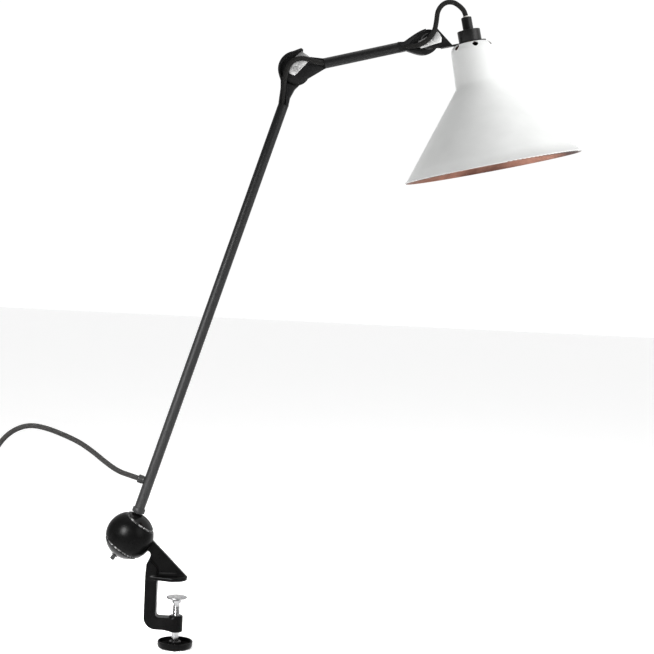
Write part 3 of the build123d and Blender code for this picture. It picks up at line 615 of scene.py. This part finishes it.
def tube(name, line, radius):
    """Round mesh tube along a line, closed at both ends, with its UV in metres round and along it."""
    around = 20
    tangents = []
    for i in range(len(line)):
        before = line[max(i - 1, 0)]
        after = line[min(i + 1, len(line) - 1)]
        tangents.append((after - before).normalized())
    side = tangents[0].cross(Vector((0, 1, 0)))
    if side.length < 0.1:
        side = tangents[0].cross(Vector((0, 0, 1)))
    side.normalize()
    mesh = bpy.data.meshes.new(name)
    work = bmesh.new()
    uv = work.loops.layers.uv.new("sleeve")
    rings = []
    for i, point in enumerate(line):
        if i:
            side = tangents[i - 1].rotation_difference(tangents[i]) @ side
        up = tangents[i].cross(side)
        ring = []
        for k in range(around):
            a = 2 * math.pi * k / around
            ring.append(work.verts.new(point + (side * math.cos(a) + up * math.sin(a)) * radius))
        rings.append(ring)
    along = 0.0
    girth = 2 * math.pi * radius
    for i in range(len(rings) - 1):
        step = (line[i + 1] - line[i]).length
        for k in range(around):
            n = (k + 1) % around
            face = work.faces.new((rings[i][k], rings[i + 1][k], rings[i + 1][n], rings[i][n]))
            corners = ((k, 0), (k, step), (k + 1, step), (k + 1, 0))
            for loop, (turn, forward) in zip(face.loops, corners):
                loop[uv].uv = (girth * turn / around, along + forward)
        along += step
    work.faces.new(list(rings[0]))
    work.faces.new(list(reversed(rings[-1])))
    bmesh.ops.recalc_face_normals(work, faces=work.faces)
    work.to_mesh(mesh)
    work.free()
    smooth_by_angle(mesh, 50)
    obj = mesh_object(name, mesh)
    paint(obj, TEXTILE)
    return obj


def about(pivot, points):
    """Route points in millimetres, measured from a joint's pivot."""
    return [Vector((pivot.x + x * MM, y * MM, pivot.z + z * MM)) for x, y, z in points]


ELBOW_ROUTE = about(ELBOW, [
    (-18.4, -0.6, -59.6),
    (-15.2, -2.0, -46.0),
    (-15.4, -5.6, -29.0),
    (-14.6, -6.6, -12.0),
    (-11.6, -6.6, 3.0),
    (-1.5, -6.6, 13.6),
    (12.5, -6.4, 14.8),
    (25.5, -4.4, 10.8),
    (38.0, -1.6, 9.6),
    (51.0, -0.4, 13.2),
])
HEAD_ROUTE = about(HEAD, [
    (-51.6, -0.4, -13.4),
    (-40.0, -1.6, -10.2),
    (-27.0, -5.0, -9.8),
    (-14.0, -7.0, -7.6),
    (-1.5, -7.2, 0.2),
    (6.6, -7.0, 12.0),
    (8.6, -5.0, 26.0),
    (9.6, -3.0, 41.0),
    (18.0, -1.4, 51.6),
    (29.5, -0.4, 53.4),
    (39.0, 0.0, 48.2),
    (46.7, 0.0, 40.5),
    (49.3, 0.0, 29.4),
])
CABLE_R = 3.3 * MM
CORD_R = 3.5 * MM
GLAND_ALONG = 78 * MM
GLAND_BELOW = 9 * MM
CORD_START = BALL + LOWER_AXIS * GLAND_ALONG - LOWER_AXIS.cross(ACROSS) * GLAND_BELOW
JUNCTION = mm(-171.0, -5.0, 195.0)
UPPER_CORD_ROUTE = [
    CORD_START,
    mm(-68.0, 0.0, 139.3),
    mm(-86.0, -1.0, 144.5),
    mm(-104.0, -2.0, 156.5),
    mm(-123.0, -3.0, 171.5),
    mm(-146.0, -4.0, 186.0),
    JUNCTION,
]
SWITCH_LOW, SWITCH_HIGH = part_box("switch_cover")
SWITCH_Y = (SWITCH_LOW.y + SWITCH_HIGH.y) / 2
SWITCH_Z = SWITCH_LOW.z
COIL_LOW, COIL_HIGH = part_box("mains_coil")
COIL = (COIL_LOW + COIL_HIGH) / 2
COIL_R = 38 * MM
TURN_GAP = 7 * MM
PER_TURN = 16
TURNS = 5.25
STEADY = 0.55  # share of a turn before the cord moves over to the next
PLUG_LOW, PLUG_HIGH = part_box("plug_body")
PLUG_Y = (PLUG_LOW.y + PLUG_HIGH.y) / 2
PLUG_Z = (PLUG_LOW.z + PLUG_HIGH.z) / 2
LIE = FLOOR + CORD_R + 1 * MM  # height of the cord's line where it lies


def coil_points():
    """Turns of the tied coil: three beside each other, then the others on them."""
    outer = COIL_R + TURN_GAP
    inner = COIL_R - TURN_GAP
    layout = [(outer, 0), (COIL_R, 0), (inner, 0), (COIL_R, 1), (outer, 1), (outer, 1), (outer, 1)]
    points = []
    for i in range(1, int(TURNS * PER_TURN) + 1):
        turn = i / PER_TURN
        index = int(turn)
        share = max(0.0, (turn - index - STEADY) / (1 - STEADY))
        share = share * share * (3 - 2 * share)
        (r, level), (next_r, next_level) = layout[index:index + 2]
        r += (next_r - r) * share
        level += (next_level - level) * share
        angle = math.pi - 2 * math.pi * turn
        x = COIL.x + r * math.cos(angle)
        y = COIL.y + r * math.sin(angle)
        points.append(Vector((x, y, LIE + level * TURN_GAP)))
    return points


LOWER_CORD_ROUTE = [
    JUNCTION,
    mm(-196.0, -6.0, 204.0),
    mm(-225.0, -4.0, 199.0),
    mm(-250.0, 0.0, 177.0),
    mm(-266.0, 5.0, 138.0),
    mm(-277.0, 10.0, 90.0),
    mm(-288.0, 14.0, 38.0),
    mm(-297.0, 16.0, -14.0),
    mm(-306.0, 14.0, -54.0),
    mm(-321.0, 6.0, -80.0),
    mm(-344.0, -13.0, -89.5),
    Vector((SWITCH_HIGH.x + 14 * MM, SWITCH_Y, SWITCH_Z)),
    Vector((SWITCH_HIGH.x - 4 * MM, SWITCH_Y, SWITCH_Z)),
    Vector((SWITCH_LOW.x + 4 * MM, SWITCH_Y, SWITCH_Z)),
    Vector((SWITCH_LOW.x - 23 * MM, SWITCH_Y, SWITCH_Z)),
    Vector((SWITCH_LOW.x - 46.5 * MM, SWITCH_Y + 17.5 * MM, FLOOR + 5.5 * MM)),
    Vector((SWITCH_LOW.x - 53.5 * MM, SWITCH_Y + 47.5 * MM, LIE)),
    Vector((COIL.x - COIL_R - 12.5 * MM, COIL.y - 13 * MM, LIE)),
    Vector((COIL.x - COIL_R - 7 * MM, COIL.y, LIE)),
    *coil_points(),
    Vector((COIL.x + 22 * MM, COIL.y + COIL_R + 6.5 * MM, FLOOR + 11 * MM)),
    Vector((COIL.x + 42 * MM, COIL.y + COIL_R + 2 * MM, FLOOR + 8 * MM)),
    Vector((PLUG_LOW.x, PLUG_Y, PLUG_Z)),
    Vector((PLUG_LOW.x + 7 * MM, PLUG_Y, PLUG_Z)),
]


def make_cords():
    """The mains lead in two lengths that meet smoothly, and the two loops round the joints."""
    upper_line = nurbs_line(UPPER_CORD_ROUTE)
    upper = tube("mains_lead_upper", upper_line, CORD_R)
    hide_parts("mains_cord_upper")
    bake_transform(upper)
    lower_line = nurbs_line(LOWER_CORD_ROUTE)
    lower = tube("mains_lead_lower", lower_line, CORD_R)
    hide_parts("mains_cord_lower", "mains_cord_tail", "mains_cord_end", "mains_coil")
    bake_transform(lower)
    loops = (
        ("elbow", ELBOW_ROUTE, "lower_arm", "upper_arm", ELBOW + mm(-15, 0, -16), ELBOW + mm(24, 0, 12)),
        ("head", HEAD_ROUTE, "upper_arm", "head", HEAD + mm(-16, 0, -8), HEAD + mm(46, 0, 42)),
    )
    for joint, route, first, second, start, end in loops:
        line = nurbs_line(route)
        lead = tube(joint + "_lead", line, CABLE_R)
        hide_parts(joint + "_cable")
        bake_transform(lead)


make_cords()


# ---------------------------------------------------------------- light and floor
WORLD_FRONT = 0.15
WORLD_LEFT = 0.35
FLOOR_HALF = 9.0
FLOOR_GLOW = 0.3


def area_light(name, at, aim, size, power):
    """Soft box of that size and power at one place, turned towards another."""
    data = bpy.data.lights.new(name, "AREA")
    data.shape = "RECTANGLE"
    data.size, data.size_y = size
    data.energy = power
    lamp = link(bpy.data.objects.new(name, data))
    lamp.location = at
    lamp.rotation_euler = (Vector(aim) - Vector(at)).to_track_quat("-Z", "Y").to_euler()
    return data


def make_world():
    """World that is white behind the lamp, and greyer in front of it and on its left."""
    world = bpy.data.worlds.new("studio")
    world.use_nodes = True
    nodes = world.node_tree.nodes
    links = world.node_tree.links
    background = nodes["Background"]
    direction = nodes.new("ShaderNodeTexCoord")
    parts = nodes.new("ShaderNodeSeparateXYZ")
    links.new(direction.outputs["Generated"], parts.inputs["Vector"])
    both = nodes.new("ShaderNodeMath")
    both.operation = "MULTIPLY"
    falls = (("Y", -0.75, 0.25, WORLD_FRONT), ("X", -0.95, -0.2, WORLD_LEFT))
    for factor, (axis, start, end, lowest) in zip(both.inputs, falls):
        fall = nodes.new("ShaderNodeMapRange")
        fall.interpolation_type = "SMOOTHSTEP"
        fall.inputs["From Min"].default_value = start
        fall.inputs["From Max"].default_value = end
        fall.inputs["To Min"].default_value = lowest
        fall.inputs["To Max"].default_value = 1.0
        links.new(parts.outputs[axis], fall.inputs["Value"])
        links.new(fall.outputs["Result"], factor)
    links.new(both.outputs["Value"], background.inputs["Color"])
    background.inputs["Strength"].default_value = 1.02
    SCENE.world = world


def make_floor():
    """Pale floor that the mains lead lies on."""
    mesh = bpy.data.meshes.new("floor")
    half = FLOOR_HALF
    corners = [(-half, -half, FLOOR), (half, -half, FLOOR), (half, half, FLOOR), (-half, half, FLOOR)]
    mesh.from_pydata(corners, [], [(0, 1, 2, 3)])
    floor = mesh_object("floor", mesh)
    f = Finish("pale_floor", (0.93, 0.93, 0.93), 0.6, specular=0.1)
    f.shader.inputs["Emission Color"].default_value = (1, 1, 1, 1)
    f.shader.inputs["Emission Strength"].default_value = FLOOR_GLOW
    f.color(f.spread(f.noise(8, 3.0), 0, 1), (0.93, 0.93, 0.93), (0.95, 0.95, 0.95))
    f.bump(f.noise(400, 2.0), 0.0001, 0.3)
    paint(floor, f.material)


def make_lights():
    """A near soft box for the ball's highlight, a large one on the right and one above."""
    left_box = area_light("left_box", (-0.44, -0.77, 0.58), (-0.06, 0, 0.06), (0.34, 0.46), 3.2)
    left_box.spread = math.radians(50)
    area_light("right_box", (1.9, -1.1, 1.1), (0.3, 0, 0.5), (1.4, 1.6), 24)
    area_light("top_box", (0.3, 0.1, 2.3), (0.2, 0, 0.3), (2.4, 1.6), 11)
    SCENE.view_settings.view_transform = "Standard"


make_world()
make_floor()
make_lights()
